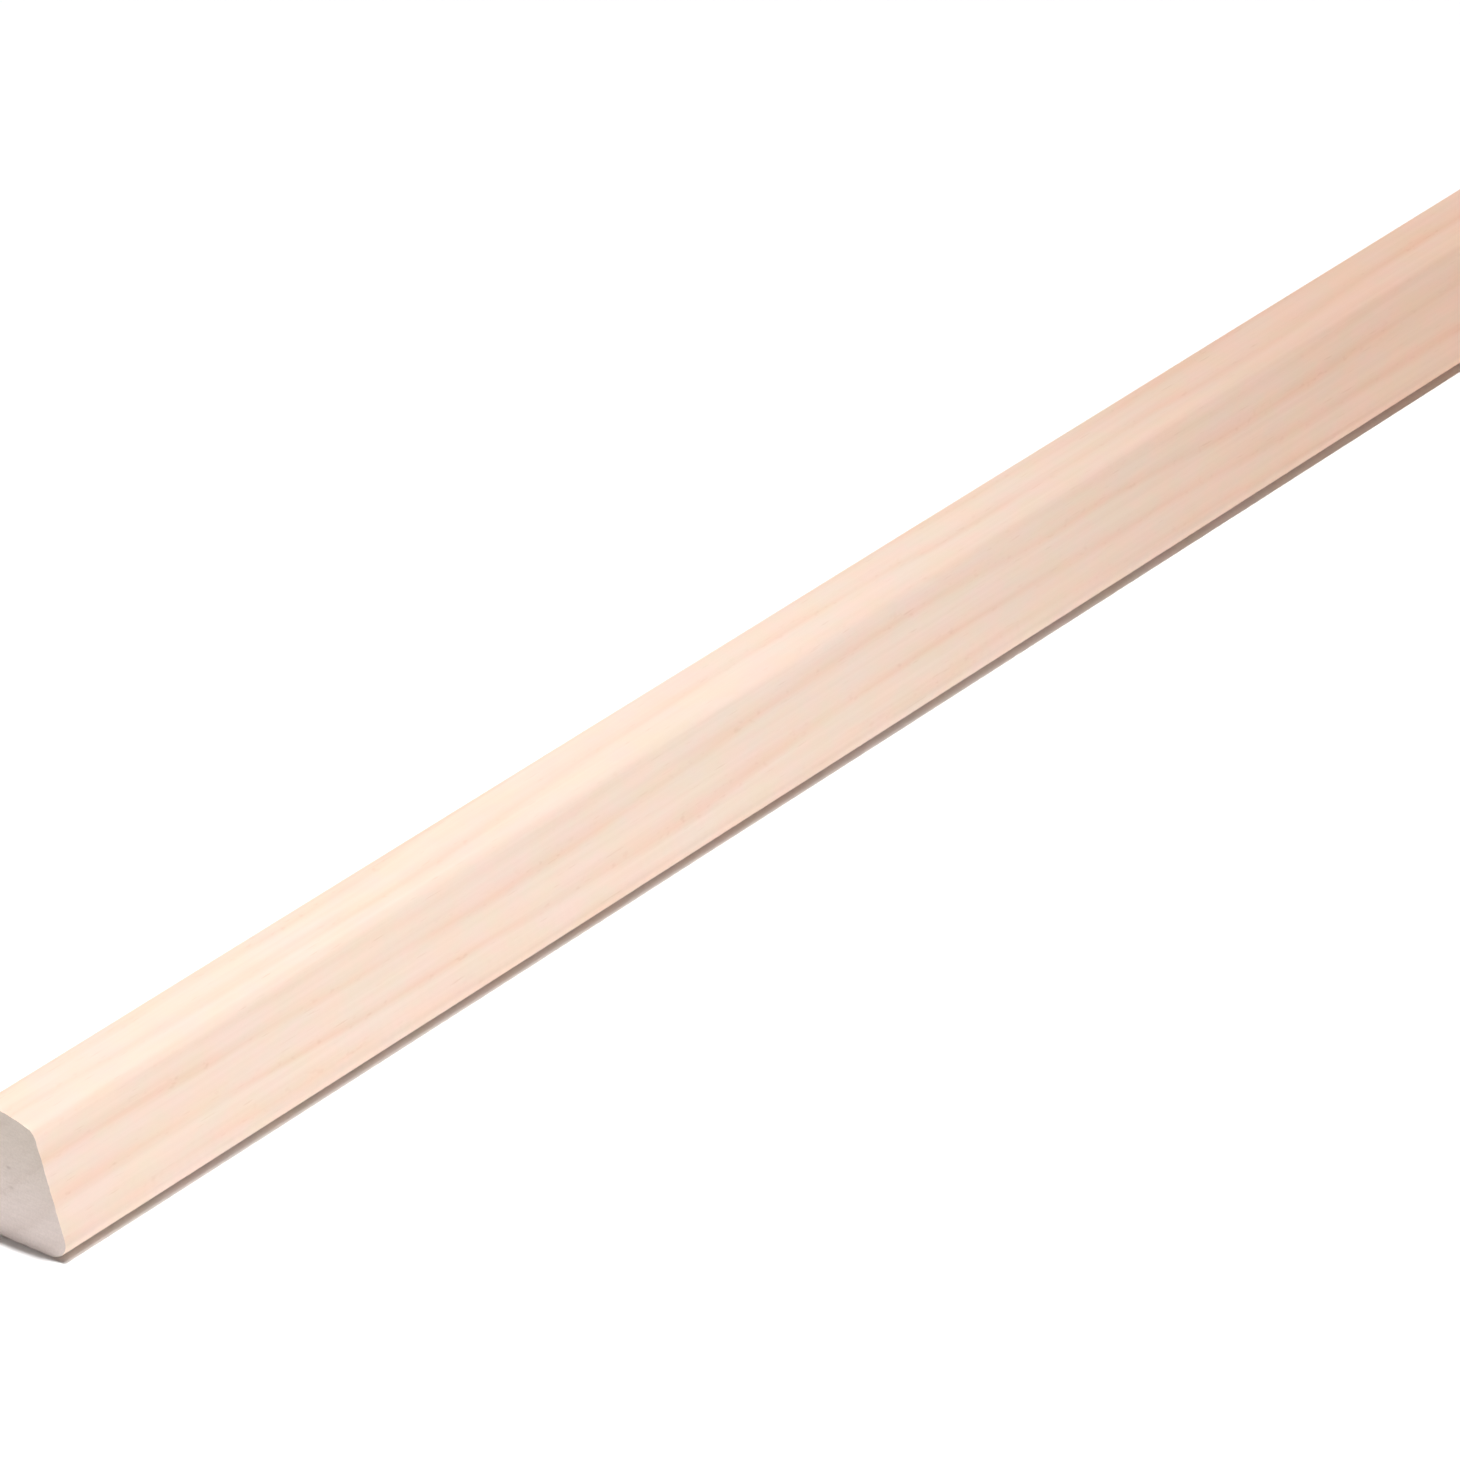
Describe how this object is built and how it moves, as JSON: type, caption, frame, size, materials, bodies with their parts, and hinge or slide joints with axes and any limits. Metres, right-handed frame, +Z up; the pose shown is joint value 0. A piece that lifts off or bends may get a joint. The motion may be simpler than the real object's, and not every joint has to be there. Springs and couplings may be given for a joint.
{
  "type": "shoe moulding",
  "caption": "Straight stick of bare wood moulding with a flat floor face, a flat wall face, a front that leans back from a rounded toe and a sloping top, to trim the joint of floor and wall.",
  "frame": {"origin": "middle of the stick's box, on the floor face", "axes": "+X along the stick, +Y out of the wall face, with the moulded front towards -Y, +Z up from the floor face"},
  "size_m": [2.4384, 0.0126, 0.019],
  "materials": {
    "bare_wood": "planed, unfinished"
  },
  "bodies": {
    "root": {"shoe_moulding": "bare_wood"}
  },
  "joints": []
}
